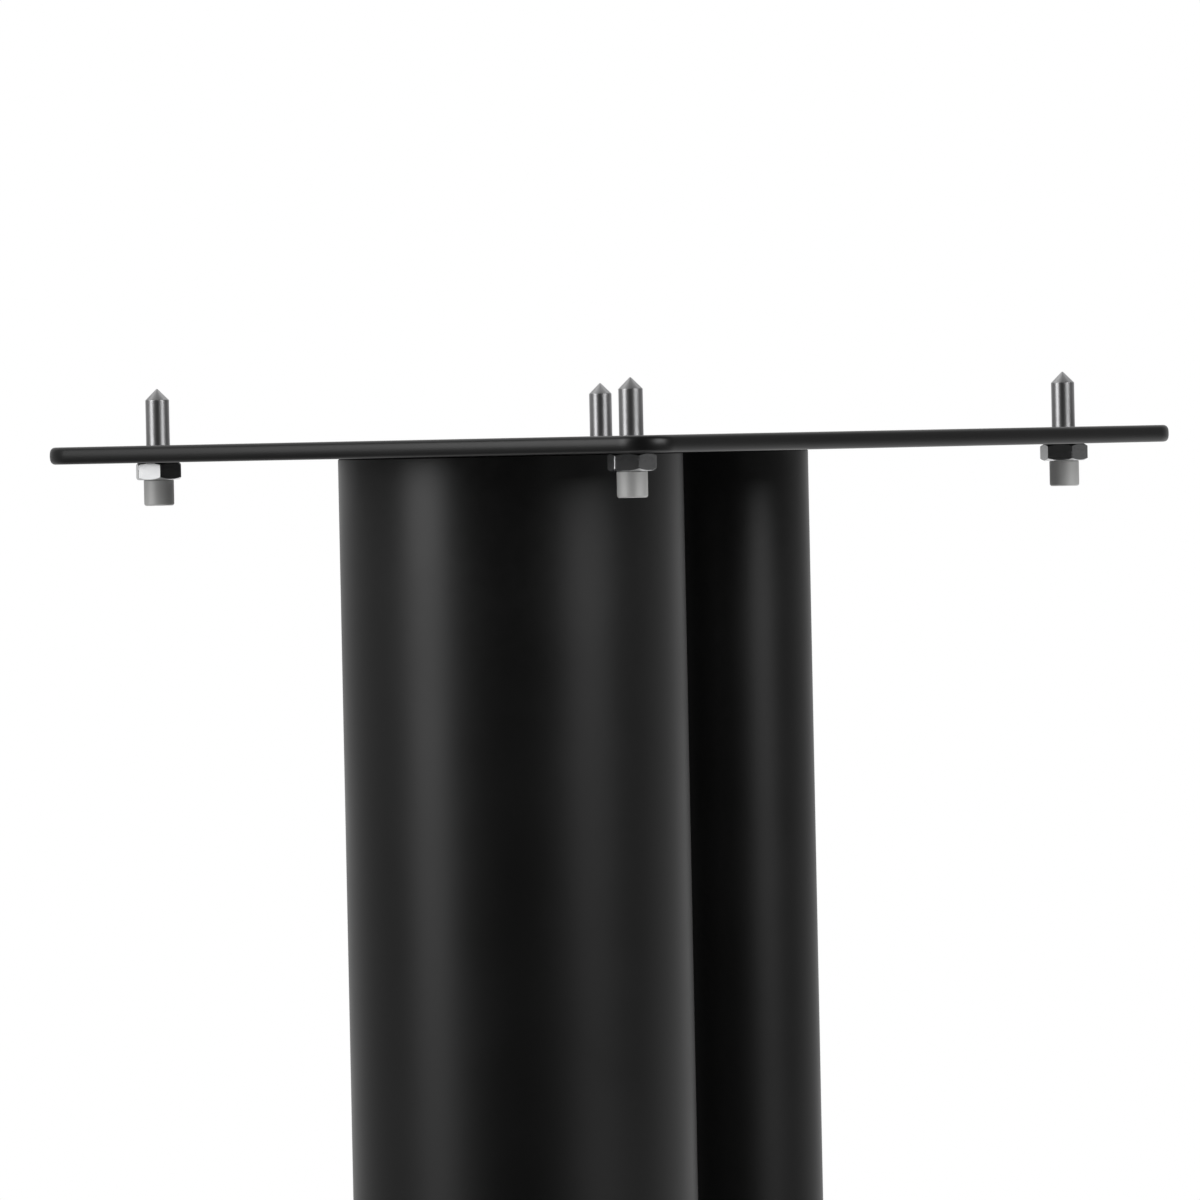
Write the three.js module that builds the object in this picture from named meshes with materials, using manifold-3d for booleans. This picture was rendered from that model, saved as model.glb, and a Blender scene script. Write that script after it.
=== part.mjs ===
// A floor-standing speaker stand: a steel base plate on four adjustable floor spikes, a large round
// column in front of a smaller one, and a thin top plate with four upturned spikes that carry the speaker.
// Millimetres, +Z up, the front faces -Y, the origin is on the floor under the middle of the base plate.

import * as THREE from 'three';
import { mergeVertices } from 'three/addons/utils/BufferGeometryUtils.js';
import Module from 'manifold-3d';

// ---- plates ----
const standHeight = 600;
const topPlateWidth = 178;
const topPlateDepth = 213;
const topPlateThickness = 4;
const topPlateCornerRadius = 9;
const topPlateEdgeRound = 1.2;
const basePlateWidth = 260;
const basePlateDepth = 310;
const basePlateThickness = 6;
const basePlateCornerRadius = 14;
const basePlateEdgeRound = 1;
const baseUndersideHeight = 18;

// ---- columns: open tubes, each closed by a disc welded flush into either end ----
const frontColumnDiameter = 80;
const frontColumnWall = 2;
const frontColumnSetForward = 41;
const rearColumnDiameter = 40;
const rearColumnWall = 1.5;
const rearColumnSetBack = 43;
const endDiscThickness = 8;
const weldGap = 0.3;

// ---- countersunk screws that hold the plates to the end discs ----
const frontScrew = { thread: 6, head: 12, length: 12, socket: 4, socketDepth: 2 };
const frontScrewCircle = 52;
const frontScrewCount = 4;
const frontScrewFirstAngle = 45;
const rearScrew = { thread: 5, head: 10, length: 12, socket: 3, socketDepth: 1.6 };
const rearScrewCircle = 20;
const rearScrewCount = 2;
const rearScrewFirstAngle = 0;
const threadClearance = 0.2;
const countersinkClearance = 0.2;
const screwHeadLand = 0.3;

// ---- top spikes: a smooth pin with a turned point, a short thread and a plain head under the lock nut ----
const topSpikeInset = 20.5;
const topPinDiameter = 5.5;
const topPinHeight = 13.1;
const topTipFlat = 0.3;
const topThreadDiameter = 6;
const topHeadDiameter = 7;
const topHeadHeight = 6;
const topHeadChamfer = 0.6;
const topSocketAcrossFlats = 3;
const topSocketDepth = 2.5;
const topNutAcrossFlats = 10;
const topNutHeight = 4;

// ---- floor spikes: a threaded stud with a long point, locked by a nut on top of the base plate ----
const floorSpikeInset = 22;
const floorThreadDiameter = 8;
const floorPointHeight = 9;
const floorTipFlat = 1;
const floorSpikeAboveNut = 9;
const floorTopChamfer = 0.8;
const floorSocketAcrossFlats = 4;
const floorSocketDepth = 4;
const floorNutAcrossFlats = 13;
const floorNutHeight = 5;

// ---- how the nuts ended up turned when they were tightened, in degrees about their axes ----
const topNutTurns = { front_left: 14, front_right: 23, rear_left: 19, rear_right: 24 };
const floorNutTurn = 12;
const nutChamferAngle = 30;
const nutFaceShare = 0.95;

// ---- facets ----
const columnFacets = 80;
const discFacets = 40;
const smallFacets = 20;
const cornerFacets = 6;
const edgeFacets = 2;
const cutOverrun = 1;
const weldDistance = 1e-4;

// ---- heights that follow from the sizes ----
const baseTop = baseUndersideHeight + basePlateThickness;
const topPlateUnderside = standHeight - topPlateThickness;
const topNutUnderside = topPlateUnderside - topNutHeight;

const steelPaint = { color: 0x0b0b0b, roughness: 0.42, metalness: 0.1 };
const brightSteel = { color: 0xc9c9c9, roughness: 0.16, metalness: 1 };
const zincSteel = { color: 0xaeb0b2, roughness: 0.3, metalness: 1 };
const darkScrew = { color: 0x191919, roughness: 0.4, metalness: 0.8 };
const rawSteel = { color: 0x6c6e70, roughness: 0.5, metalness: 1 };

const wasm = await Module();
wasm.setup();

// a closed three.js geometry as a solid that can be cut and joined
function toSolid(geometry) {
  const bare = geometry.clone();
  bare.deleteAttribute('normal');
  bare.deleteAttribute('uv');
  const merged = mergeVertices(bare, weldDistance);
  const kept = [];
  const index = merged.index.array;
  for (let i = 0; i < index.length; i += 3) {
    const [a, b, c] = [index[i], index[i + 1], index[i + 2]];
    if (a !== b && b !== c && c !== a) kept.push(a, b, c);
  }
  const mesh = new wasm.Mesh({
    numProp: 3,
    vertProperties: new Float32Array(merged.attributes.position.array),
    triVerts: new Uint32Array(kept),
  });
  return new wasm.Manifold(mesh);
}

function toGeometry(solid) {
  const mesh = solid.getMesh();
  const geometry = new THREE.BufferGeometry();
  geometry.setAttribute('position', new THREE.BufferAttribute(mesh.vertProperties, 3));
  geometry.setIndex(new THREE.BufferAttribute(mesh.triVerts, 1));
  geometry.computeVertexNormals();
  return geometry;
}

// a turned body about Z from pairs of radius and height, which start and end on the axis
function turned(profile, facets = smallFacets) {
  const points = profile.map(([radius, height]) => new THREE.Vector2(radius, height));
  const geometry = new THREE.LatheGeometry(points, facets);
  geometry.rotateX(Math.PI / 2);
  return toSolid(geometry);
}

// a round bar standing on the height given
function bar(radius, low, high, facets = smallFacets) {
  return turned([[0, low], [radius, low], [radius, high], [0, high]], facets);
}

// a hexagonal bar of the width across flats, turned by the degrees given about its axis
function hexBar(acrossFlats, low, high, turn = 0) {
  const shape = new THREE.Shape();
  const cornerRadius = acrossFlats / Math.sqrt(3);
  for (let side = 0; side < 6; side += 1) {
    const angle = THREE.MathUtils.degToRad(turn + 60 * side);
    const place = [cornerRadius * Math.cos(angle), cornerRadius * Math.sin(angle)];
    if (side === 0) shape.moveTo(...place);
    else shape.lineTo(...place);
  }
  const geometry = new THREE.ExtrudeGeometry(shape, { depth: high - low, bevelEnabled: false });
  geometry.translate(0, 0, low);
  return toSolid(geometry);
}

// a flat steel plate with rounded corners and softened edges, centred, its underside at the height given
function plate(width, depth, thickness, cornerRadius, edgeRound, underside) {
  const [x, y] = [width / 2, depth / 2];
  const shape = new THREE.Shape();
  shape.moveTo(x - cornerRadius, -y);
  shape.absarc(x - cornerRadius, cornerRadius - y, cornerRadius, -Math.PI / 2, 0);
  shape.absarc(x - cornerRadius, y - cornerRadius, cornerRadius, 0, Math.PI / 2);
  shape.absarc(cornerRadius - x, y - cornerRadius, cornerRadius, Math.PI / 2, Math.PI);
  shape.absarc(cornerRadius - x, cornerRadius - y, cornerRadius, Math.PI, 1.5 * Math.PI);
  const geometry = new THREE.ExtrudeGeometry(shape, {
    depth: thickness - 2 * edgeRound,
    curveSegments: cornerFacets,
    bevelThickness: edgeRound,
    bevelSize: edgeRound,
    bevelOffset: -edgeRound,
    bevelSegments: edgeFacets,
  });
  geometry.translate(0, 0, underside + edgeRound);
  return toSolid(geometry);
}

// the places of count screws on a circle, from the angle given in degrees
function circlePlaces(circle, count, centreY, firstAngle) {
  return Array.from({ length: count }, (_, i) => {
    const angle = THREE.MathUtils.degToRad(firstAngle + (360 * i) / count);
    return [(circle / 2) * Math.cos(angle), centreY + (circle / 2) * Math.sin(angle)];
  });
}

const sides = { left: -1, right: 1 };
const ends = { front: -1, rear: 1 };

// the four places inset from the edges of a plate, by name
function cornerPlaces(width, depth, inset) {
  const places = {};
  for (const [endName, end] of Object.entries(ends)) {
    for (const [sideName, side] of Object.entries(sides)) {
      places[`${endName}_${sideName}`] = [side * (width / 2 - inset), end * (depth / 2 - inset)];
    }
  }
  return places;
}

const frontColumnY = -frontColumnSetForward;
const rearColumnY = rearColumnSetBack;
const frontScrewPlaces = circlePlaces(frontScrewCircle, frontScrewCount, frontColumnY,
  frontScrewFirstAngle);
const rearScrewPlaces = circlePlaces(rearScrewCircle, rearScrewCount, rearColumnY, rearScrewFirstAngle);
const topSpikePlaces = cornerPlaces(topPlateWidth, topPlateDepth, topSpikeInset);
const floorSpikePlaces = cornerPlaces(basePlateWidth, basePlateDepth, floorSpikeInset);

// a countersunk hole for a screw, its head's top face at height zero and its thread running down
function countersunkHole(screw, depth) {
  const [thread, head] = [screw.thread / 2 + threadClearance, screw.head / 2 + countersinkClearance];
  return turned([
    [0, -depth - cutOverrun],
    [thread, -depth - cutOverrun],
    [thread, thread - head - screwHeadLand],
    [head, -screwHeadLand],
    [head, cutOverrun],
    [0, cutOverrun],
  ]);
}

// a countersunk screw with a hexagon socket, its head's top face at height zero
function countersunkScrew(screw) {
  const [thread, head] = [screw.thread / 2, screw.head / 2];
  const body = turned([
    [0, -screw.length],
    [thread, -screw.length],
    [thread, thread - head - screwHeadLand],
    [head, -screwHeadLand],
    [head, 0],
    [0, 0],
  ]);
  return body.subtract(hexBar(screw.socket, -screw.socketDepth, cutOverrun));
}

// cuts the countersunk holes of both columns into a plate whose outer face is at the height given
function withScrewHoles(solid, thickness, outerFace, facesUp) {
  let cut = solid;
  const flip = facesUp ? [0, 0, 0] : [180, 0, 0];
  for (const [screw, places] of [[frontScrew, frontScrewPlaces], [rearScrew, rearScrewPlaces]]) {
    for (const [x, y] of places) {
      cut = cut.subtract(countersunkHole(screw, thickness).rotate(flip).translate([x, y, outerFace]));
    }
  }
  return cut;
}

// cuts the spikes' threaded holes into a plate
function withSpikeHoles(solid, places, diameter, low, high) {
  let cut = solid;
  for (const [x, y] of Object.values(places)) {
    const hole = bar(diameter / 2 + threadClearance, low - cutOverrun, high + cutOverrun);
    cut = cut.subtract(hole.translate([x, y, 0]));
  }
  return cut;
}

function topPlate() {
  const blank = plate(topPlateWidth, topPlateDepth, topPlateThickness, topPlateCornerRadius,
    topPlateEdgeRound, topPlateUnderside);
  const screwed = withScrewHoles(blank, topPlateThickness, standHeight, true);
  return withSpikeHoles(screwed, topSpikePlaces, topThreadDiameter, topPlateUnderside, standHeight);
}

function basePlate() {
  const blank = plate(basePlateWidth, basePlateDepth, basePlateThickness, basePlateCornerRadius,
    basePlateEdgeRound, baseUndersideHeight);
  const screwed = withScrewHoles(blank, basePlateThickness, baseUndersideHeight, false);
  return withSpikeHoles(screwed, floorSpikePlaces, floorThreadDiameter, baseUndersideHeight, baseTop);
}

// a straight round tube between the two plates
function column(diameter, wall, centreY) {
  const [outer, inner] = [diameter / 2, diameter / 2 - wall];
  const tube = turned([
    [inner, baseTop],
    [outer, baseTop],
    [outer, topPlateUnderside],
    [inner, topPlateUnderside],
    [inner, baseTop],
  ], columnFacets);
  return tube.translate([0, centreY, 0]);
}

// the disc inside a tube's end, with tapped holes for the plate's screws
function endDisc(diameter, wall, centreY, low, screw, places) {
  const radius = diameter / 2 - wall - weldGap;
  let disc = bar(radius, low, low + endDiscThickness, discFacets).translate([0, centreY, 0]);
  for (const [x, y] of places) {
    const tapped = bar(screw.thread / 2 + threadClearance, low - cutOverrun,
      low + endDiscThickness + cutOverrun);
    disc = disc.subtract(tapped.translate([x, y, 0]));
  }
  return disc;
}

// a hexagon nut with both faces chamfered at its corners, bored for its thread
function lockNut(acrossFlats, height, thread, low, turn) {
  const faceRadius = (nutFaceShare * acrossFlats) / 2;
  const cornerRadius = acrossFlats / Math.sqrt(3) + cutOverrun;
  const drop = (cornerRadius - faceRadius) * Math.tan(THREE.MathUtils.degToRad(nutChamferAngle));
  const chamfer = turned([
    [0, low],
    [faceRadius, low],
    [cornerRadius, low + drop],
    [cornerRadius, low + height - drop],
    [faceRadius, low + height],
    [0, low + height],
  ]);
  const bore = bar(thread / 2 + threadClearance, low - cutOverrun, low + height + cutOverrun);
  return hexBar(acrossFlats, low, low + height, turn).intersect(chamfer).subtract(bore);
}

// the turned spike that carries the speaker, fully screwed up against its nut
function topSpike() {
  const [pin, thread, head] = [topPinDiameter / 2, topThreadDiameter / 2, topHeadDiameter / 2];
  const headLow = topNutUnderside - topHeadHeight;
  const tip = standHeight + topPinHeight;
  const flat = topTipFlat / 2;
  const body = turned([
    [0, headLow],
    [head - topHeadChamfer, headLow],
    [head, headLow + topHeadChamfer],
    [head, topNutUnderside],
    [thread, topNutUnderside],
    [thread, standHeight - (thread - pin)],
    [pin, standHeight],
    [pin, tip - (pin - flat)],
    [flat, tip],
    [0, tip],
  ]);
  return body.subtract(hexBar(topSocketAcrossFlats, headLow - cutOverrun, headLow + topSocketDepth));
}

// the pointed stud that stands on the floor
function floorSpike() {
  const thread = floorThreadDiameter / 2;
  const top = baseTop + floorNutHeight + floorSpikeAboveNut;
  const body = turned([
    [0, 0],
    [floorTipFlat / 2, 0],
    [thread, floorPointHeight],
    [thread, top - floorTopChamfer],
    [thread - floorTopChamfer, top],
    [0, top],
  ]);
  return body.subtract(hexBar(floorSocketAcrossFlats, top - floorSocketDepth, top + cutOverrun));
}

const stand = new THREE.Group();

function add(name, solid, look, [x, y] = [0, 0]) {
  const mesh = new THREE.Mesh(toGeometry(solid), new THREE.MeshStandardMaterial(look));
  mesh.name = name;
  mesh.position.set(x, y, 0);
  stand.add(mesh);
}

function addScrews(name, screw, places, headFace, facesUp) {
  const body = countersunkScrew(screw).rotate(facesUp ? [0, 0, 0] : [180, 0, 0]);
  places.forEach((place, i) => {
    add(`${name}_screw_${i + 1}`, body.translate([0, 0, headFace]), darkScrew, place);
  });
}

add('base_plate', basePlate(), steelPaint);
add('top_plate', topPlate(), steelPaint);

const columns = {
  front: [frontColumnDiameter, frontColumnWall, frontColumnY, frontScrew, frontScrewPlaces],
  rear: [rearColumnDiameter, rearColumnWall, rearColumnY, rearScrew, rearScrewPlaces],
};
for (const [name, [diameter, wall, centreY, screw, places]] of Object.entries(columns)) {
  add(`${name}_column`, column(diameter, wall, centreY), steelPaint);
  const upperLow = topPlateUnderside - endDiscThickness;
  add(`${name}_column_top_disc`, endDisc(diameter, wall, centreY, upperLow, screw, places), rawSteel);
  add(`${name}_column_foot_disc`, endDisc(diameter, wall, centreY, baseTop, screw, places), rawSteel);
  addScrews(`top_plate_${name}`, screw, places, standHeight, true);
  addScrews(`base_plate_${name}`, screw, places, baseUndersideHeight, false);
}

for (const [corner, place] of Object.entries(topSpikePlaces)) {
  add(`top_spike_${corner}`, topSpike(), brightSteel, place);
  add(`top_lock_nut_${corner}`,
    lockNut(topNutAcrossFlats, topNutHeight, topThreadDiameter, topNutUnderside, topNutTurns[corner]),
    zincSteel, place);
}

for (const [corner, place] of Object.entries(floorSpikePlaces)) {
  add(`floor_spike_${corner}`, floorSpike(), brightSteel, place);
  add(`floor_lock_nut_${corner}`,
    lockNut(floorNutAcrossFlats, floorNutHeight, floorThreadDiameter, baseTop, floorNutTurn),
    zincSteel, place);
}

export default stand;
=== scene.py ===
"""The looks of a floor-standing speaker stand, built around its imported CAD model.

Powder-coated plates and columns, turned and polished spikes, zinc-plated lock nuts and blackened screws.
Lengths are millimetres, except in the studio's part at the end, where they are metres as in Blender.
"""

import math

import bpy
import numpy as np
from mathutils import Matrix, Vector


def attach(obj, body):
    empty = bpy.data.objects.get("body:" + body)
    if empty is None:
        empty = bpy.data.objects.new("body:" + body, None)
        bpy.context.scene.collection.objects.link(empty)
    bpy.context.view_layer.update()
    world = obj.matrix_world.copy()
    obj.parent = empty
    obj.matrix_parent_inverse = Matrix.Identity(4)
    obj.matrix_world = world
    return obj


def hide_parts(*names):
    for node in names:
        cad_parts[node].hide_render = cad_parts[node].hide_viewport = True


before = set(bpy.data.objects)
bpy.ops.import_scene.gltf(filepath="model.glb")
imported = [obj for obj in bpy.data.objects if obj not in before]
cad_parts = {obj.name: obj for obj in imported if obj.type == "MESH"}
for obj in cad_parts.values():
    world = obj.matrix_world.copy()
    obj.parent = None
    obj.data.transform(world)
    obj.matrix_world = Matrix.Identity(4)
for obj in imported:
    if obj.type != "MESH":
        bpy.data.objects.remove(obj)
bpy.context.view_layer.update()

MM = 0.001
STAND = "stand"

# ---- sizes that the CAD model has too ----
TOP_FACE = 600.0
TOP_PLATE = {"width": 178.0, "depth": 213.0, "thickness": 4.0, "corner": 9.0, "edge": 1.2, "crown": 12.0,
             "low": 596.0}
BASE_PLATE = {"width": 260.0, "depth": 310.0, "thickness": 6.0, "corner": 14.0, "edge": 1.0, "crown": 6.0,
              "low": 18.0}
COLUMNS = {
    "front": {"diameter": 80.0, "wall": 2.0, "y": -41.0},
    "rear": {"diameter": 40.0, "wall": 1.5, "y": 43.0},
}
SCREWS = {
    "front": {"thread": 6.0, "head": 12.0, "length": 12.0, "socket": 4.0, "deep": 2.0, "circle": 52.0,
              "count": 4, "first": 45.0},
    "rear": {"thread": 5.0, "head": 10.0, "length": 12.0, "socket": 3.0, "deep": 1.6, "circle": 20.0,
             "count": 2, "first": 0.0},
}
SCREW_CLEARANCE = 0.2
SCREW_LAND = 0.3
TOP_SPIKE_INSET = 20.5
FLOOR_SPIKE_INSET = 22.0
THREAD_CLEARANCE = 0.2
TOP_NUT = {"flats": 10.0, "height": 4.0, "bore": 6.0}
TOP_NUT_TURNS = {"front_left": 14.0, "front_right": 23.0, "rear_left": 19.0, "rear_right": 24.0}
FLOOR_NUT = {"flats": 13.0, "height": 5.0, "bore": 8.0}
FLOOR_NUT_TURN = 12.0
TOP_SPIKE = {"thread": 6.0, "pitch": 1.0, "pin": 5.5, "rise": 13.1, "point": 2.6, "tip": 0.3, "head": 7.0,
             "head_height": 6.0, "socket": 3.0, "socket_depth": 2.5}
FLOOR_SPIKE = {"thread": 8.0, "pitch": 1.25, "above_nut": 9.0, "point": 9.2, "tip": 1.0, "chamfer": 0.8,
               "socket": 4.0, "socket_depth": 4.0}
TOP_NUT_LOW = TOP_PLATE["low"] - TOP_NUT["height"]
COLUMN_LOW = BASE_PLATE["low"] + BASE_PLATE["thickness"]
COLUMN_HIGH = TOP_PLATE["low"]

# ---- sizes of the fine detail ----
CUTTER_OVERRUN = 1.0
COLUMN_RIM_CHAMFER = 0.3
NUT_CORNER_ROUNDING = 0.25
NUT_FACE_SHARE = 0.475  # the bearing face's radius, as a share of the width across the flats
NUT_CHAMFER = math.radians(30)
NUT_LEAST_CHAMFER = 0.02
BORE_CHAMFER = 0.45
THREAD_DEPTH = 0.54  # as a share of the pitch
THREAD_FLANK_RISE = 2.5  # how steeply the groove goes from crest to root, for one pitch
THREAD_CREST = 0.15  # how much of that rise the flat crest takes
POINT_ROUNDING = 0.12
HEAD_FOOT_EDGE = [(0.4, 0.0), (0.14, 0.18), (0.0, 0.5)]  # in from the head's side, up from its foot
HEAD_SHOULDER_CHAMFER = 0.15
TOP_THREAD_START = 0.1  # above the head's shoulder
FLOOR_TIP_EDGE = (0.14, 0.12)
FLOOR_POINT_SHOULDER = (0.1, 0.3)
FLOOR_END_EDGE = (0.65, 0.12)
FLOOR_THREAD_END = 0.2  # below the upper end
SOCKET_ROUNDING = 0.05
SOCKET_CHAMFER = 0.15
DRILL_POINT = {"radius": 0.2, "depth": 0.5}
SCREW_END_CHAMFER = 0.5
SCREW_EDGE_CHAMFER = 0.1

# ---- how finely round things are divided ----
COLUMN_COUNT = 192
COLUMN_LEVELS = 12
NUT_COUNT = 144
SPIKE_COUNT = 72
SCREW_COUNT = 48
THREAD_RINGS_PER_TURN = 10


# ---- mesh making ----
def ring(radius, height, count):
    """A level circle of points."""
    angles = 2 * math.pi * np.arange(count) / count
    return np.column_stack([radius * np.cos(angles), radius * np.sin(angles), np.full(count, height)])


def hexagon_radius(angles, flats, turn, rounding):
    """How far the outline of a hexagon with rounded corners is from its axis at each angle. One corner points
    to the turn, in degrees."""
    spread = math.radians(60)
    from_corner = np.abs((angles - math.radians(turn + 30) + spread) % spread - spread / 2)
    straight = flats / 2 / np.cos(spread / 2 - from_corner)
    corner_centre = (flats / 2 - rounding) / math.cos(spread / 2)
    side = corner_centre * np.sin(from_corner)
    arc = corner_centre * np.cos(from_corner) + np.sqrt(np.maximum(rounding**2 - side**2, 0))
    return np.where(side < rounding * math.sin(spread / 2), np.minimum(straight, arc), straight)


def hexagon_ring(flats, height, count):
    """A socket's level hexagon of points, which starts at the same angle as a circle of the same count."""
    angles = 2 * math.pi * np.arange(count) / count
    radius = hexagon_radius(angles, flats, 0.0, SOCKET_ROUNDING)
    return np.column_stack([radius * np.cos(angles), radius * np.sin(angles), np.full(count, height)])


def skin(name, rings, closed=False):
    """A mesh object skinned over rings of points from the bottom up. Each end is closed by one flat face,
    or where the whole is closed, the last ring joins the first."""
    count = len(rings[0])
    points = np.vstack(rings) * MM
    faces = []
    levels = len(rings)
    for level in range(levels if closed else levels - 1):
        a, b = level * count, ((level + 1) % levels) * count
        for i in range(count):
            j = (i + 1) % count
            faces.append((a + i, a + j, b + j, b + i))
    if not closed:
        faces.append(tuple(range(count - 1, -1, -1)))
        faces.append(tuple(range((levels - 1) * count, levels * count)))
    mesh = bpy.data.meshes.new(name)
    mesh.from_pydata(points.tolist(), [], faces)
    mesh.update()
    made = bpy.data.objects.new(name, mesh)
    bpy.context.scene.collection.objects.link(made)
    return made


def rounded(profile, radius, steps=4, most=0.45):
    """A profile of (radius, height) corners with each inner corner rounded off, over no more than the given
    share of either side."""
    out = [profile[0]]
    for before, corner, after in zip(profile, profile[1:], profile[2:]):
        before, corner, after = (np.array(p, float) for p in (before, corner, after))
        into, away = before - corner, after - corner
        length_in, length_out = np.linalg.norm(into), np.linalg.norm(away)
        cut = min(radius, most * length_in, most * length_out)
        start, end = corner + into / length_in * cut, corner + away / length_out * cut
        for step in range(steps + 1):
            t = step / steps
            out.append(tuple((1 - t) ** 2 * start + 2 * t * (1 - t) * corner + t**2 * end))
    out.append(profile[-1])
    return out


def turned(name, profile):
    """A turned cutter from a profile of (radius, height) pairs, listed from the bottom up."""
    return skin(name, [ring(radius, height, SCREW_COUNT) for radius, height in profile])


def smooth(piece, angle=28.0):
    """Soft shading with crisp edges where faces meet at more than the angle, and flats kept flat."""
    piece.data.polygons.foreach_set("use_smooth", [True] * len(piece.data.polygons))
    piece.data.set_sharp_from_angle(angle=math.radians(angle))
    flats = piece.modifiers.new("flat faces", "WEIGHTED_NORMAL")
    flats.keep_sharp = True
    return piece


def place(piece, x, y):
    """Moves a piece's points, so that its object stays at the origin as the CAD nodes do."""
    piece.data.transform(Matrix.Translation((x * MM, y * MM, 0)))
    return piece


def cut(piece, cutters):
    """Cuts solids out of a piece and deletes them."""
    for cutter in cutters:
        step = piece.modifiers.new("cut", "BOOLEAN")
        step.operation = "DIFFERENCE"
        step.solver = "EXACT"
        step.object = cutter
    bpy.context.view_layer.update()
    evaluated = piece.evaluated_get(bpy.context.evaluated_depsgraph_get())
    mesh = bpy.data.meshes.new_from_object(evaluated)
    piece.modifiers.clear()
    old, piece.data = piece.data, mesh
    bpy.data.meshes.remove(old)
    mesh.name = piece.name
    for cutter in cutters:
        bpy.data.objects.remove(cutter)
    return piece


def finish_piece(piece, material, slot, body, *nodes):
    """Gives a piece its finish, the body it rides on and the CAD nodes it stands for."""
    piece.data.materials.clear()
    piece.data.materials.append(material)
    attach(piece, body)
    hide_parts(*nodes)


def dull_below(piece, material, height):
    """Gives the part of a piece that is below the height a second finish."""
    piece.data.materials.append(material)
    for face in piece.data.polygons:
        face.material_index = 1 if face.center.z < height * MM else 0


# ---- places ----
SIDES = {"left": -1, "right": 1}
ENDS = {"front": -1, "rear": 1}


def corners(width, depth, inset):
    """The four places inset from a plate's edges, by name."""
    return {
        f"{end}_{side}": (x * (width / 2 - inset), y * (depth / 2 - inset))
        for end, y in ENDS.items()
        for side, x in SIDES.items()
    }


def screw_places(which):
    """The places of a column's screws."""
    screw = SCREWS[which]
    out = []
    for i in range(screw["count"]):
        angle = math.radians(screw["first"] + 360 * i / screw["count"])
        out.append((screw["circle"] / 2 * math.cos(angle),
                    COLUMNS[which]["y"] + screw["circle"] / 2 * math.sin(angle)))
    return out


TOP_CORNERS = corners(TOP_PLATE["width"], TOP_PLATE["depth"], TOP_SPIKE_INSET)
BASE_CORNERS = corners(BASE_PLATE["width"], BASE_PLATE["depth"], FLOOR_SPIKE_INSET)


# ---- node groups: effects that several finishes share ----
def new_group(name, inputs, outputs):
    """An empty shader node group with its named sockets."""
    group = bpy.data.node_groups.new(name, "ShaderNodeTree")
    for label, kind, value in inputs:
        socket = group.interface.new_socket(name=label, in_out="INPUT", socket_type=kind)
        socket.default_value = value
    for label, kind in outputs:
        group.interface.new_socket(name=label, in_out="OUTPUT", socket_type=kind)
    start = group.nodes.new("NodeGroupInput")
    end = group.nodes.new("NodeGroupOutput")
    return group, start, end


def node(tree, kind, **settings):
    """A new node with its settings and, by socket name, its fixed input values."""
    made = tree.nodes.new(kind)
    for key, value in settings.items():
        if hasattr(made, key):
            setattr(made, key, value)
        else:
            made.inputs[key.replace("_", " ").title()].default_value = value
    return made


def make_fine_grain():
    """Fine random relief, as in a powder coat or a blasted or plated surface, in two sizes."""
    group, start, end = new_group(
        "fine grain",
        [("Broad Size", "NodeSocketFloat", 1.6), ("Fine Size", "NodeSocketFloat", 0.3),
         ("Fine Share", "NodeSocketFloat", 0.35)],
        [("Height", "NodeSocketFloat"), ("Cloud", "NodeSocketFloat")],
    )
    links = group.links
    where = group.nodes.new("ShaderNodeTexCoord")
    heights = []
    for label in ("Broad Size", "Fine Size"):
        per_metre = node(group, "ShaderNodeMath", operation="DIVIDE")
        per_metre.inputs[0].default_value = 1000.0
        links.new(start.outputs[label], per_metre.inputs[1])
        noise = node(group, "ShaderNodeTexNoise", detail=2.0)
        links.new(where.outputs["Object"], noise.inputs["Vector"])
        links.new(per_metre.outputs[0], noise.inputs["Scale"])
        heights.append(noise.outputs["Fac"])
    mixed = node(group, "ShaderNodeMix", data_type="FLOAT")
    links.new(start.outputs["Fine Share"], mixed.inputs[0])
    links.new(heights[0], mixed.inputs[2])
    links.new(heights[1], mixed.inputs[3])
    links.new(mixed.outputs[0], end.inputs["Height"])
    cloud = node(group, "ShaderNodeTexNoise", scale=28.0, detail=3.0)
    links.new(where.outputs["Object"], cloud.inputs["Vector"])
    links.new(cloud.outputs["Fac"], end.inputs["Cloud"])
    return group


def make_edge_wear():
    """A mask that is 1 on a piece's outer edges and breaks up along them, and 0 on its faces."""
    group, start, end = new_group(
        "edge wear",
        [("Reach", "NodeSocketFloat", 0.06), ("Break Up", "NodeSocketFloat", 350.0)],
        [("Mask", "NodeSocketFloat")],
    )
    links = group.links
    shape = group.nodes.new("ShaderNodeNewGeometry")
    where = group.nodes.new("ShaderNodeTexCoord")
    noise = node(group, "ShaderNodeTexNoise", detail=2.0)
    links.new(where.outputs["Object"], noise.inputs["Vector"])
    links.new(start.outputs["Break Up"], noise.inputs["Scale"])
    above = node(group, "ShaderNodeMath", operation="SUBTRACT")
    above.inputs[1].default_value = 0.5
    links.new(shape.outputs["Pointiness"], above.inputs[0])
    share = node(group, "ShaderNodeMath", operation="DIVIDE", use_clamp=True)
    links.new(above.outputs[0], share.inputs[0])
    links.new(start.outputs["Reach"], share.inputs[1])
    broken = node(group, "ShaderNodeMath", operation="MULTIPLY", use_clamp=True)
    links.new(share.outputs[0], broken.inputs[0])
    links.new(noise.outputs["Fac"], broken.inputs[1])
    links.new(broken.outputs[0], end.inputs["Mask"])
    return group


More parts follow.
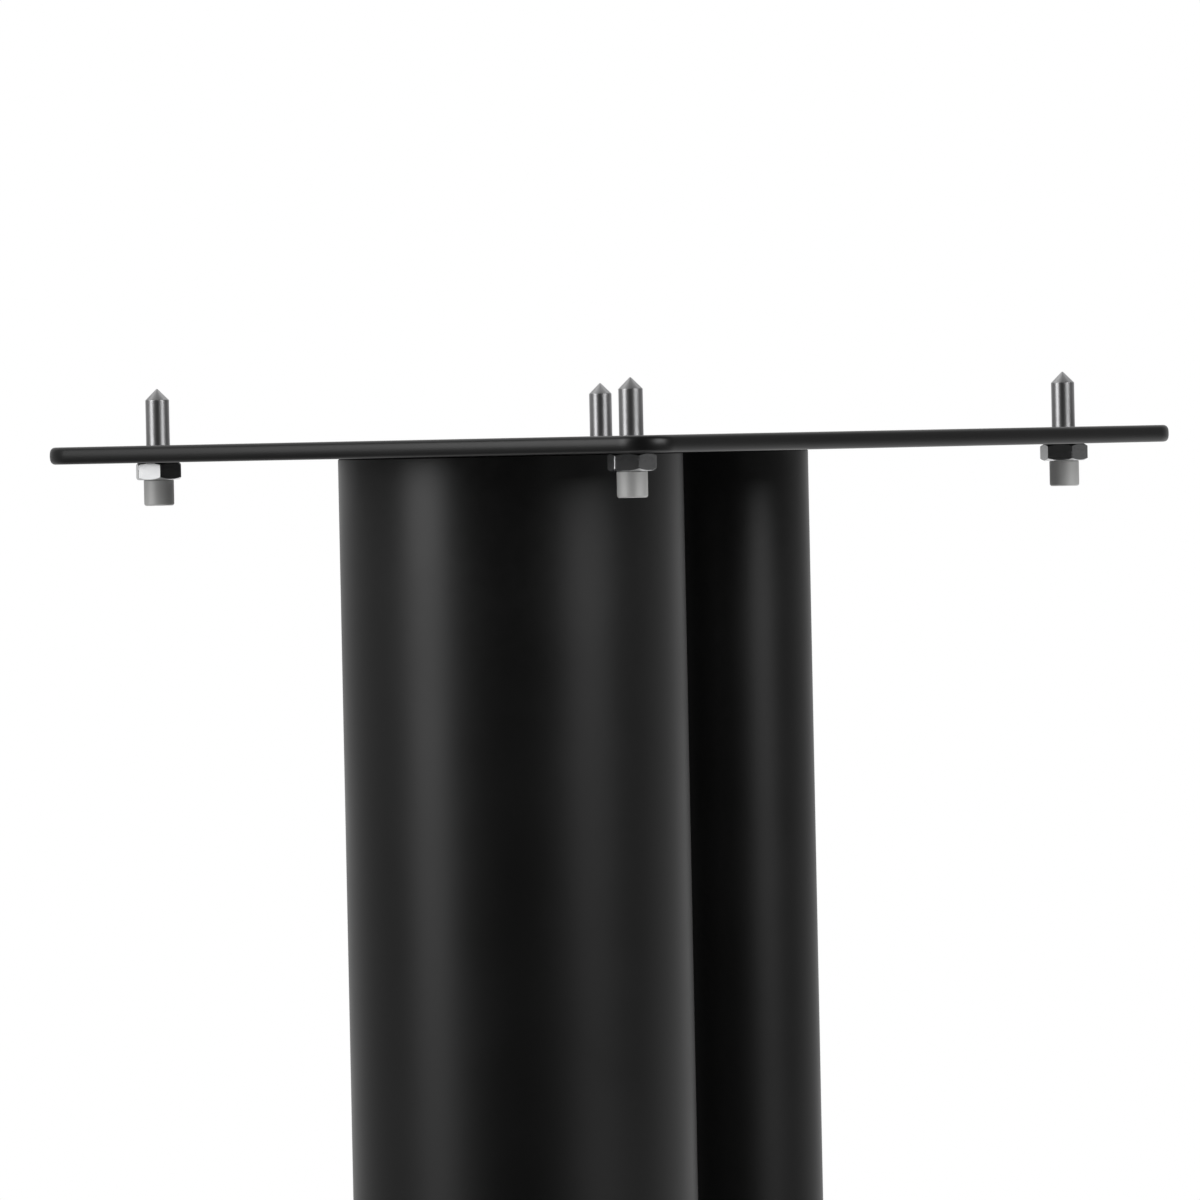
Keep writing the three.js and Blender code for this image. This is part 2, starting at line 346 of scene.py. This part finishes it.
def make_lathe_marks():
    """Fine turned grooves round an upright piece: a height that changes only along its axis."""
    group, start, end = new_group(
        "lathe marks",
        [("Grooves Per Metre", "NodeSocketFloat", 5200.0)],
        [("Height", "NodeSocketFloat")],
    )
    links = group.links
    where = group.nodes.new("ShaderNodeTexCoord")
    split = group.nodes.new("ShaderNodeSeparateXYZ")
    links.new(where.outputs["Object"], split.inputs[0])
    along = node(group, "ShaderNodeMath", operation="MULTIPLY")
    links.new(split.outputs["Z"], along.inputs[0])
    links.new(start.outputs["Grooves Per Metre"], along.inputs[1])
    noise = node(group, "ShaderNodeTexNoise", noise_dimensions="1D", detail=2.0, scale=1.0)
    links.new(along.outputs[0], noise.inputs["W"])
    links.new(noise.outputs["Fac"], end.inputs["Height"])
    return group


FINE_GRAIN = make_fine_grain()
EDGE_WEAR = make_edge_wear()
LATHE_MARKS = make_lathe_marks()


def new_material(name, colour, **shader_values):
    """A material with its Principled shader, and the fixed values on the shader's own sockets."""
    material = bpy.data.materials.new(name)
    material.use_nodes = True
    tree = material.node_tree
    shader = tree.nodes["Principled BSDF"]
    shader.inputs["Base Color"].default_value = (*colour, 1)
    for key, value in shader_values.items():
        shader.inputs[key.replace("_", " ").title().replace("Ior", "IOR")].default_value = value
    return material, tree, shader


def effect(tree, group, **values):
    """A shared effect placed in a material with its own values."""
    made = tree.nodes.new("ShaderNodeGroup")
    made.node_tree = group
    for key, value in values.items():
        made.inputs[key.replace("_", " ").title()].default_value = value
    return made


def spread(tree, source, low, high):
    """Stretches a value around one half to run from low to high."""
    made = node(tree, "ShaderNodeMapRange", clamp=True)
    made.inputs["From Min"].default_value = 0.3
    made.inputs["From Max"].default_value = 0.7
    made.inputs["To Min"].default_value = low
    made.inputs["To Max"].default_value = high
    tree.links.new(source, made.inputs["Value"])
    return made.outputs[0]


def blend_colours(tree, mask, first, second):
    """Goes from the first colour, where the mask is 0, to the second where it is 1."""
    made = node(tree, "ShaderNodeMix", data_type="RGBA")
    made.inputs[6].default_value = (*first, 1)
    made.inputs[7].default_value = (*second, 1)
    tree.links.new(mask, made.inputs[0])
    return made.outputs[2]


def relief(tree, shader, height, distance_mm, strength):
    """Turns a height into the shader's normal."""
    bump = tree.nodes.new("ShaderNodeBump")
    bump.inputs["Distance"].default_value = distance_mm * MM
    bump.inputs["Strength"].default_value = strength
    tree.links.new(height, bump.inputs["Height"])
    tree.links.new(bump.outputs[0], shader.inputs["Normal"])


def satin_black_coat():
    """Powder coat: black, satin, with a faint orange peel and slightly thinner on the edges."""
    material, tree, shader = new_material("satin black powder coat", (0.002, 0.002, 0.002), ior=1.62)
    grain = effect(tree, FINE_GRAIN, broad_size=1.8, fine_size=0.35, fine_share=0.4)
    wear = effect(tree, EDGE_WEAR, reach=0.08, break_up=300.0)
    tree.links.new(blend_colours(tree, wear.outputs["Mask"], (0.002, 0.002, 0.002), (0.009, 0.009, 0.009)),
                   shader.inputs["Base Color"])
    tree.links.new(spread(tree, grain.outputs["Cloud"], low=0.33, high=0.39), shader.inputs["Roughness"])
    relief(tree, shader, grain.outputs["Height"], distance_mm=0.02, strength=0.35)
    return material


def polished_steel():
    """Turned and polished steel of the spikes, with the finest lathe marks left in it."""
    material, tree, shader = new_material("polished steel", (0.6, 0.6, 0.61), metallic=1.0)
    grain = effect(tree, FINE_GRAIN, broad_size=0.9, fine_size=0.12, fine_share=0.5)
    marks = effect(tree, LATHE_MARKS, grooves_per_metre=5200.0)
    tree.links.new(blend_colours(tree, grain.outputs["Cloud"], (0.54, 0.54, 0.55), (0.64, 0.64, 0.64)),
                   shader.inputs["Base Color"])
    tree.links.new(spread(tree, grain.outputs["Cloud"], low=0.34, high=0.4), shader.inputs["Roughness"])
    relief(tree, shader, marks.outputs["Height"], distance_mm=0.004, strength=0.25)
    return material


def turned_steel():
    """Turned steel left dull, on the lower ends of the top spikes."""
    material, tree, shader = new_material("dull turned steel", (0.75, 0.75, 0.74), metallic=0.85)
    grain = effect(tree, FINE_GRAIN, broad_size=1.1, fine_size=0.2, fine_share=0.4)
    marks = effect(tree, LATHE_MARKS, grooves_per_metre=3600.0)
    tree.links.new(blend_colours(tree, grain.outputs["Cloud"], (0.7, 0.7, 0.69), (0.8, 0.8, 0.79)),
                   shader.inputs["Base Color"])
    tree.links.new(spread(tree, grain.outputs["Cloud"], low=0.6, high=0.72), shader.inputs["Roughness"])
    relief(tree, shader, marks.outputs["Height"], distance_mm=0.01, strength=0.3)
    return material


def zinc_plate():
    """Bright zinc plate of the lock nuts: a little cloudy, brighter where its edges are rubbed."""
    material, tree, shader = new_material("bright zinc plate", (0.62, 0.63, 0.64), metallic=1.0)
    grain = effect(tree, FINE_GRAIN, broad_size=0.7, fine_size=0.15, fine_share=0.5)
    wear = effect(tree, EDGE_WEAR, reach=0.06, break_up=900.0)
    tree.links.new(blend_colours(tree, wear.outputs["Mask"], (0.6, 0.61, 0.62), (0.8, 0.8, 0.8)),
                   shader.inputs["Base Color"])
    tree.links.new(spread(tree, grain.outputs["Cloud"], low=0.24, high=0.3), shader.inputs["Roughness"])
    relief(tree, shader, grain.outputs["Height"], distance_mm=0.01, strength=0.08)
    return material


def black_oxide():
    """Blackened steel of the countersunk screws."""
    material, tree, shader = new_material("black oxide", (0.03, 0.03, 0.031), metallic=0.6)
    grain = effect(tree, FINE_GRAIN, broad_size=0.6, fine_size=0.12, fine_share=0.5)
    wear = effect(tree, EDGE_WEAR, reach=0.05, break_up=900.0)
    tree.links.new(blend_colours(tree, wear.outputs["Mask"], (0.022, 0.022, 0.023), (0.11, 0.11, 0.11)),
                   shader.inputs["Base Color"])
    tree.links.new(spread(tree, grain.outputs["Height"], low=0.3, high=0.42), shader.inputs["Roughness"])
    relief(tree, shader, grain.outputs["Height"], distance_mm=0.01, strength=0.3)
    return material


def mill_steel():
    """Plain cut steel of the discs inside the columns."""
    material, tree, shader = new_material("mill steel", (0.35, 0.35, 0.36), metallic=1.0)
    grain = effect(tree, FINE_GRAIN, broad_size=2.2, fine_size=0.4, fine_share=0.5)
    tree.links.new(blend_colours(tree, grain.outputs["Cloud"], (0.3, 0.3, 0.31), (0.42, 0.42, 0.42)),
                   shader.inputs["Base Color"])
    tree.links.new(spread(tree, grain.outputs["Cloud"], low=0.4, high=0.6), shader.inputs["Roughness"])
    relief(tree, shader, grain.outputs["Height"], distance_mm=0.03, strength=0.4)
    return material


COAT = satin_black_coat()
POLISHED = polished_steel()
DULL = turned_steel()
ZINC = zinc_plate()
OXIDE = black_oxide()
MILL = mill_steel()


# ---- plates ----
def plate_outline(width, depth, corner, inset, height, steps=14):
    """A level rounded rectangle of points, inset from the plate's outline."""
    points = []
    radius = corner - inset
    for quarter, (sx, sy) in enumerate(((1, -1), (1, 1), (-1, 1), (-1, -1))):
        centre = (sx * (width / 2 - corner), sy * (depth / 2 - corner))
        first = math.radians(-90 + 90 * quarter)
        for step in range(steps + 1):
            angle = first + math.radians(90) * step / steps
            points.append((centre[0] + radius * math.cos(angle), centre[1] + radius * math.sin(angle),
                           height))
    return np.array(points)


def plate_rings(plate, steps=6, crown_steps=4):
    """Rings of a plate from its lower face to its upper face. Its edges are rounded, and its side is a little
    crowned: at the edges' ends it leans by the crown's degrees."""
    low, high, edge = plate["low"], plate["low"] + plate["thickness"], plate["edge"]
    lean = math.radians(plate["crown"])
    start = low + edge * (1 - math.sin(lean))
    half = (low + high) / 2 - start
    depth = half * math.tan(lean) / 2
    rings = []
    for step in range(steps + 1):
        angle = (math.radians(90) - lean) * step / steps
        rings.append((depth + edge * (math.cos(lean) - math.sin(angle)), low + edge * (1 - math.cos(angle))))
    for step in range(1, crown_steps + 1):
        share = step / crown_steps
        rings.append((depth * (1 - share) ** 2, start + half * share))
    rings += [(inset, low + high - height) for inset, height in reversed(rings[:-1])]
    return [plate_outline(plate["width"], plate["depth"], plate["corner"], inset, height)
            for inset, height in rings]


def countersink(screw, face, way):
    """The cutter for a countersunk hole. The way is 1 where the outer face looks up, or -1 for down."""
    thread = screw["thread"] / 2 + SCREW_CLEARANCE
    head = screw["head"] / 2 + SCREW_CLEARANCE
    profile = [(thread, -screw["length"]), (thread, thread - head - SCREW_LAND), (head, -SCREW_LAND),
               (head, CUTTER_OVERRUN)]
    profile = [(radius, face + way * height) for radius, height in profile]
    return turned("countersink", profile if way > 0 else profile[::-1])


def make_plate(name, plate, spike_places, bore, outer_face, way):
    """A plate with its countersunk screw holes and its tapped spike holes."""
    made = skin(name, plate_rings(plate))
    cutters = []
    for which, screw in SCREWS.items():
        for x, y in screw_places(which):
            cutters.append(place(countersink(screw, outer_face, way), x, y))
    low, high = plate["low"] - CUTTER_OVERRUN, plate["low"] + plate["thickness"] + CUTTER_OVERRUN
    for x, y in spike_places.values():
        cutters.append(place(turned("tapping", [(bore / 2, low), (bore / 2, high)]), x, y))
    return smooth(cut(made, cutters))


finish_piece(
    make_plate("top_plate_coated", TOP_PLATE, TOP_CORNERS, TOP_NUT["bore"] + 2 * THREAD_CLEARANCE,
               TOP_FACE, 1),
    COAT, "steel_paint", STAND, "top_plate")
finish_piece(
    make_plate("base_plate_coated", BASE_PLATE, BASE_CORNERS, FLOOR_NUT["bore"] + 2 * THREAD_CLEARANCE,
               BASE_PLATE["low"], -1),
    COAT, "steel_paint", STAND, "base_plate")

# ---- columns ----
for which, column in COLUMNS.items():
    outer, inner = column["diameter"] / 2, column["diameter"] / 2 - column["wall"]
    rim = COLUMN_RIM_CHAMFER
    profile = [(inner, COLUMN_LOW), (outer - rim, COLUMN_LOW), (outer, COLUMN_LOW + rim)]
    for level in range(1, COLUMN_LEVELS):
        share = level / COLUMN_LEVELS
        profile.append((outer, COLUMN_LOW + share * (COLUMN_HIGH - COLUMN_LOW)))
    profile += [(outer, COLUMN_HIGH - rim), (outer - rim, COLUMN_HIGH), (inner, COLUMN_HIGH)]
    tube = skin(f"{which}_column_coated", [ring(r, z, COLUMN_COUNT) for r, z in profile], closed=True)
    place(smooth(tube), 0, column["y"])
    finish_piece(tube, COAT, "steel_paint", STAND, f"{which}_column")

for which in COLUMNS:
    for end in ("top", "foot"):
        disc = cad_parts[f"{which}_column_{end}_disc"]
        disc.data.materials.clear()
        disc.data.materials.append(MILL)


# ---- lock nuts ----
def make_nut(name, nut, turn, low):
    """A hexagon nut, its corners chamfered on both faces, with a countersunk bore."""
    high = low + nut["height"]
    angles = 2 * math.pi * np.arange(NUT_COUNT) / NUT_COUNT
    side = hexagon_radius(angles, nut["flats"], turn, NUT_CORNER_ROUNDING)
    face = NUT_FACE_SHARE * nut["flats"]
    drop = np.maximum(side - face, NUT_LEAST_CHAMFER) * math.tan(NUT_CHAMFER)
    bore = nut["bore"] / 2 + THREAD_CLEARANCE
    mouth = bore + BORE_CHAMFER

    def around(radius, height):
        return np.column_stack([radius * np.cos(angles), radius * np.sin(angles), height + 0 * angles])

    rings = [around(bore, low + BORE_CHAMFER), around(mouth, low), around(face, low),
             around(side, low + drop), around(side, high - drop),
             around(face, high), around(mouth, high), around(bore, high - BORE_CHAMFER)]
    return smooth(skin(name, rings, closed=True), angle=20.0)


# ---- spikes ----
def threaded_rings(profile, low, high, pitch):
    """Rings up a profile of (radius, height), with a screw thread cut into it between the two heights. The
    thread runs out over one pitch at each end."""
    step = pitch / THREAD_RINGS_PER_TURN
    stations = []
    for (r0, z0), (r1, z1) in zip(profile, profile[1:]):
        parts = max(1, math.ceil(abs(z1 - z0) / step)) if z0 < high and z1 > low else 1
        for part in range(parts):
            share = part / parts
            stations.append((r0 + share * (r1 - r0), z0 + share * (z1 - z0)))
    stations.append(profile[-1])
    angles = 2 * math.pi * np.arange(SPIKE_COUNT) / SPIKE_COUNT
    rings = []
    for radius, height in stations:
        around = np.full(SPIKE_COUNT, radius, float)
        if low <= height <= high:
            fade = min(1.0, (height - low) / pitch, (high - height) / pitch)
            phase = (height / pitch - angles / (2 * math.pi)) % 1.0
            groove = np.clip(np.abs(phase - 0.5) * THREAD_FLANK_RISE - THREAD_CREST, 0, 1)
            around = np.minimum(around, radius - fade * THREAD_DEPTH * pitch * groove)
        rings.append(np.column_stack([around * np.cos(angles), around * np.sin(angles),
                                      np.full(SPIKE_COUNT, height)]))
    return rings


def socket_rings(flats, rim, floor, count):
    """Rings down a hexagon socket from its rim to its floor and on to the drill's point."""
    down = 1 if floor > rim else -1
    return [hexagon_ring(flats + 2 * SOCKET_CHAMFER, rim, count),
            hexagon_ring(flats, rim + down * SOCKET_CHAMFER, count),
            hexagon_ring(flats, floor, count),
            ring(DRILL_POINT["radius"], floor + down * DRILL_POINT["depth"], count)]


def make_top_spike(name):
    """A top spike: socketed head under the nut, thread through nut and plate, bright pin, turned point."""
    thread, pin, head = TOP_SPIKE["thread"] / 2, TOP_SPIKE["pin"] / 2, TOP_SPIKE["head"] / 2
    foot = TOP_NUT_LOW - TOP_SPIKE["head_height"]
    thread_end = TOP_FACE - (thread - pin)
    tip = TOP_FACE + TOP_SPIKE["rise"]
    shoulder = HEAD_SHOULDER_CHAMFER
    profile = [(head - inset, foot + rise) for inset, rise in HEAD_FOOT_EDGE]
    profile += [(head, TOP_NUT_LOW - shoulder), (head - shoulder, TOP_NUT_LOW),
                (thread, TOP_NUT_LOW), (thread, thread_end)]
    point = [(pin, TOP_FACE), (pin, tip - TOP_SPIKE["point"]), (TOP_SPIKE["tip"] / 2, tip), (0.0, tip)]
    profile += rounded(point, POINT_ROUNDING)[:-1]
    socket = socket_rings(TOP_SPIKE["socket"], foot, foot + TOP_SPIKE["socket_depth"], SPIKE_COUNT)
    shank = threaded_rings(profile, TOP_NUT_LOW + TOP_THREAD_START, thread_end, TOP_SPIKE["pitch"])
    return smooth(skin(name, socket[::-1] + shank))


def make_floor_spike(name):
    """A floor spike: long point, thread through plate and nut, hexagon socket in its upper end."""
    thread, tip = FLOOR_SPIKE["thread"] / 2, FLOOR_SPIKE["tip"] / 2
    point, chamfer = FLOOR_SPIKE["point"], FLOOR_SPIKE["chamfer"]
    top = COLUMN_LOW + FLOOR_NUT["height"] + FLOOR_SPIKE["above_nut"]
    profile = [(tip - FLOOR_TIP_EDGE[0], 0.0), (tip, FLOOR_TIP_EDGE[1]),
               (thread - FLOOR_POINT_SHOULDER[0], point - FLOOR_POINT_SHOULDER[1]), (thread, point),
               (thread, top - chamfer), (thread - FLOOR_END_EDGE[0], top - FLOOR_END_EDGE[1]),
               (thread - chamfer, top)]
    shank = threaded_rings(profile, point, top - FLOOR_THREAD_END, FLOOR_SPIKE["pitch"])
    socket = socket_rings(FLOOR_SPIKE["socket"], top, top - FLOOR_SPIKE["socket_depth"], SPIKE_COUNT)
    return smooth(skin(name, shank + socket))


for corner, (x, y) in TOP_CORNERS.items():
    spike = place(make_top_spike(f"top_spike_{corner}_turned"), x, y)
    finish_piece(spike, POLISHED, "bright_steel", f"top_spike_{corner}", f"top_spike_{corner}")
    dull_below(spike, DULL, TOP_NUT_LOW)
    nut = place(make_nut(f"top_lock_nut_{corner}_hexagon", TOP_NUT, TOP_NUT_TURNS[corner], TOP_NUT_LOW), x, y)
    finish_piece(nut, ZINC, "zinc_steel", f"top_lock_nut_{corner}", f"top_lock_nut_{corner}")

for corner, (x, y) in BASE_CORNERS.items():
    spike = place(make_floor_spike(f"floor_spike_{corner}_turned"), x, y)
    finish_piece(spike, POLISHED, "bright_steel", f"floor_spike_{corner}", f"floor_spike_{corner}")
    nut = place(make_nut(f"floor_lock_nut_{corner}_hexagon", FLOOR_NUT, FLOOR_NUT_TURN, COLUMN_LOW), x, y)
    finish_piece(nut, ZINC, "zinc_steel", f"floor_lock_nut_{corner}", f"floor_lock_nut_{corner}")


# ---- countersunk screws ----
def make_screw(name, screw, face, way):
    """A countersunk screw with a hexagon socket. The way is 1 where its head looks up, or -1 for down."""
    thread, head = screw["thread"] / 2, screw["head"] / 2
    end, edge = SCREW_END_CHAMFER, SCREW_EDGE_CHAMFER
    profile = [(thread - end, -screw["length"]), (thread, -screw["length"] + end),
               (thread, thread - head - SCREW_LAND), (head, -SCREW_LAND), (head, -edge), (head - edge, 0)]
    rings = [ring(radius, height, SCREW_COUNT) for radius, height in profile]
    rings += socket_rings(screw["socket"], 0, -screw["deep"], SCREW_COUNT)
    made = skin(name, rings)
    if way < 0:
        made.data.transform(Matrix.Rotation(math.pi, 4, "X"))
    made.data.transform(Matrix.Translation((0, 0, face * MM)))
    return smooth(made)


for plate_name, face, way in (("top_plate", TOP_FACE, 1), ("base_plate", BASE_PLATE["low"], -1)):
    for which, screw in SCREWS.items():
        for i, (x, y) in enumerate(screw_places(which)):
            cad_name = f"{plate_name}_{which}_screw_{i + 1}"
            piece = place(make_screw(f"{cad_name}_head", screw, face, way), x, y)
            finish_piece(piece, OXIDE, "black_screw", STAND, cad_name)


# ---- studio: lengths are metres from here on ----
CAMERA_TURN = math.radians(36.79)
TOWARDS_CAMERA = Vector((math.sin(CAMERA_TURN), -math.cos(CAMERA_TURN), 0))
CAMERA_DISTANCE = 2.458
CAMERA_HEIGHT = 0.5986
CAMERA_LEFT = 0.00782
CAMERA_DOWN = math.radians(0.826)
CAMERA_ROLL = math.radians(1.18)
CAMERA_LENS_MM = 328.0
LAMPS_LOOK_AT = Vector((0, 0, 0.55))
FLOOR_RADIUS = 3.0
SHADOW_FADES = (0.35, 1.1)  # where the floor starts to turn into the white background, and where it has


def studio_direction(degrees):
    """A level direction from the stand, in degrees to the right of the camera as the camera sees it."""
    angle = CAMERA_TURN + math.radians(degrees)
    return Vector((math.sin(angle), -math.cos(angle), 0))


def make_floor():
    """A pale floor that keeps the stand's shadow and turns into the white background away from it."""
    count = 64
    angles = 2 * math.pi * np.arange(count) / count
    points = [(FLOOR_RADIUS * math.cos(a), FLOOR_RADIUS * math.sin(a), 0.0) for a in angles]
    mesh = bpy.data.meshes.new("studio floor")
    mesh.from_pydata(points, [], [tuple(range(count))])
    floor = bpy.data.objects.new("studio_floor", mesh)
    bpy.context.scene.collection.objects.link(floor)
    material, tree, shader = new_material("studio floor", (0.9, 0.9, 0.9), roughness=0.9)
    where = tree.nodes.new("ShaderNodeTexCoord")
    length = node(tree, "ShaderNodeVectorMath", operation="LENGTH")
    tree.links.new(where.outputs["Object"], length.inputs[0])
    fade = tree.nodes.new("ShaderNodeMapRange")
    fade.inputs["From Min"].default_value = SHADOW_FADES[0]
    fade.inputs["From Max"].default_value = SHADOW_FADES[1]
    tree.links.new(length.outputs["Value"], fade.inputs["Value"])
    mix = tree.nodes.new("ShaderNodeMixShader")
    glow = tree.nodes.new("ShaderNodeEmission")
    glow.inputs["Strength"].default_value = 1.0
    tree.links.new(seen_ray(tree, fade.outputs[0]), mix.inputs[0])
    tree.links.new(shader.outputs[0], mix.inputs[1])
    tree.links.new(glow.outputs[0], mix.inputs[2])
    tree.links.new(mix.outputs[0], tree.nodes["Material Output"].inputs["Surface"])
    mesh.materials.append(material)


def seen_ray(tree, amount=None):
    """1 for rays that show the background: from the camera, or mirrored or passed on by the object."""
    path = tree.nodes.new("ShaderNodeLightPath")
    total = path.outputs["Is Camera Ray"]
    for name in ("Is Glossy Ray", "Is Transmission Ray"):
        add = node(tree, "ShaderNodeMath", operation="ADD", use_clamp=True)
        tree.links.new(total, add.inputs[0])
        tree.links.new(path.outputs[name], add.inputs[1])
        total = add.outputs[0]
    if amount is not None:
        times = node(tree, "ShaderNodeMath", operation="MULTIPLY")
        tree.links.new(total, times.inputs[0])
        tree.links.new(amount, times.inputs[1])
        total = times.outputs[0]
    return total


def make_world(level):
    """White where it is seen or mirrored, and an even light of the given level elsewhere."""
    world = bpy.data.worlds.new("studio")
    bpy.context.scene.world = world
    world.use_nodes = True
    tree = world.node_tree
    background = tree.nodes["Background"]
    background.inputs["Color"].default_value = (1, 1, 1, 1)
    strength = node(tree, "ShaderNodeMapRange")
    strength.inputs["To Min"].default_value = level
    strength.inputs["To Max"].default_value = 1.0
    tree.links.new(seen_ray(tree), strength.inputs["Value"])
    tree.links.new(strength.outputs[0], background.inputs["Strength"])


def make_room():
    """The dark room round the set, which only gloss mirrors. The shades of its floor cloth, wall and ceiling
    are listed by direction, in degrees to the right of the camera. All are dark by the camera and pale behind
    the stand, where the white backdrop is, and the cloth is a little paler below the two lamps."""
    cloth = [(-170, 0.7), (-150, 0.5), (-110, 0.25), (-90, 0.16), (-72, 0.14), (-55, 0.2), (-35, 0.15),
             (-15, 0.02), (15, 0.02), (40, 0.15), (60, 0.2), (90, 0.35), (110, 0.65), (150, 0.8), (170, 0.8)]
    wall = [(-170, 0.75), (-150, 0.5), (-120, 0.25), (-100, 0.2), (-80, 0.16), (-72, 0.06), (-30, 0.02),
            (0, 0.0), (30, 0.02), (80, 0.05), (90, 0.06), (105, 0.15), (120, 0.22), (150, 0.5), (170, 0.75)]
    ceiling = [(-170, 0.9), (-115, 0.75), (-100, 0.5), (-88, 0.15), (0, 0.05), (108, 0.1), (120, 0.7),
               (170, 0.9)]
    overhead = [(0, 0.03), (1, 0.03)]
    # radius, height and shades, from the cloth's inner edge outwards, up the wall and in along the ceiling
    rows = [(0.4, 0.002, cloth), (3.4, 0.002, cloth), (3.4, 0.1, wall), (3.4, 3.0, wall),
            (2.6, 3.2, ceiling), (0.4, 3.3, ceiling), (0.25, 3.3, overhead), (0.0, 3.3, overhead)]
    turns = np.arange(-170, 170.1, 4)
    vertices, faces, levels = [], [], []
    for turn in turns:
        way = studio_direction(turn)
        for radius, height, shades in rows:
            vertices.append((way.x * radius, way.y * radius, height))
            levels.append(float(np.interp(turn, *zip(*shades))))
    count = len(rows)
    for i in range(len(turns) - 1):
        for row in range(count - 1):
            a = count * i + row
            faces.append((a, a + count, a + count + 1, a + 1))
    mesh = bpy.data.meshes.new("dark room")
    mesh.from_pydata(vertices, [], faces)
    shade = mesh.attributes.new("shade", "FLOAT", "POINT")
    shade.data.foreach_set("value", levels)
    room = bpy.data.objects.new("studio_dark_room", mesh)
    bpy.context.scene.collection.objects.link(room)
    material = bpy.data.materials.new("dark room")
    material.use_nodes = True
    tree = material.node_tree
    tree.nodes.remove(tree.nodes["Principled BSDF"])
    glow = tree.nodes.new("ShaderNodeEmission")
    value = tree.nodes.new("ShaderNodeAttribute")
    value.attribute_name = "shade"
    tree.links.new(value.outputs["Fac"], glow.inputs["Strength"])
    tree.links.new(glow.outputs[0], tree.nodes["Material Output"].inputs["Surface"])
    mesh.materials.append(material)
    for kind in ("camera", "diffuse", "shadow", "transmission", "volume_scatter"):
        setattr(room, f"visible_{kind}", False)


def make_softbox(name, turn, distance, height, width, tall, radiance):
    """A rectangular lamp that looks at the stand's head, as bright as the radiance says."""
    lamp = bpy.data.lights.new(name, "AREA")
    lamp.shape = "RECTANGLE"
    lamp.size, lamp.size_y = width, tall
    lamp.energy = math.pi * width * tall * radiance
    holder = bpy.data.objects.new(name, lamp)
    bpy.context.scene.collection.objects.link(holder)
    holder.location = studio_direction(turn) * distance + Vector((0, 0, height))
    aim = LAMPS_LOOK_AT - holder.location
    holder.rotation_euler = aim.to_track_quat("-Z", "Y").to_euler()
    holder.visible_camera = False


def camera_place():
    """Where the camera stands: level with the top plate, a little left of the stand's nearest spike."""
    x, y = TOP_CORNERS["front_right"]
    nearest = Vector((x * MM, y * MM, CAMERA_HEIGHT))
    to_the_right = Vector((math.cos(CAMERA_TURN), math.sin(CAMERA_TURN), 0))
    return nearest + TOWARDS_CAMERA * CAMERA_DISTANCE - to_the_right * CAMERA_LEFT


def make_camera():
    """The camera at the photograph's viewing angle, with a long lens."""
    data = bpy.data.cameras.new("camera")
    data.sensor_width = 36.0
    data.lens = CAMERA_LENS_MM
    data.clip_start, data.clip_end = 0.1, 60.0
    camera = bpy.data.objects.new("camera", data)
    bpy.context.scene.collection.objects.link(camera)
    looks = -TOWARDS_CAMERA * math.cos(CAMERA_DOWN) - Vector((0, 0, math.sin(CAMERA_DOWN)))
    level = looks.to_track_quat("-Z", "Y").to_matrix().to_4x4()
    camera.matrix_world = (Matrix.Translation(camera_place()) @ level
                           @ Matrix.Rotation(-CAMERA_ROLL, 4, "Z"))
    bpy.context.scene.camera = camera


make_floor()
make_world(level=0.95)
make_room()
make_softbox("left_softbox", turn=-59, distance=1.8, height=1.2, width=0.9, tall=1.4, radiance=2.85)
make_softbox("right_softbox", turn=50, distance=1.8, height=1.14, width=0.98, tall=0.78, radiance=3.4)
make_camera()

bpy.context.scene.view_settings.view_transform = "Standard"
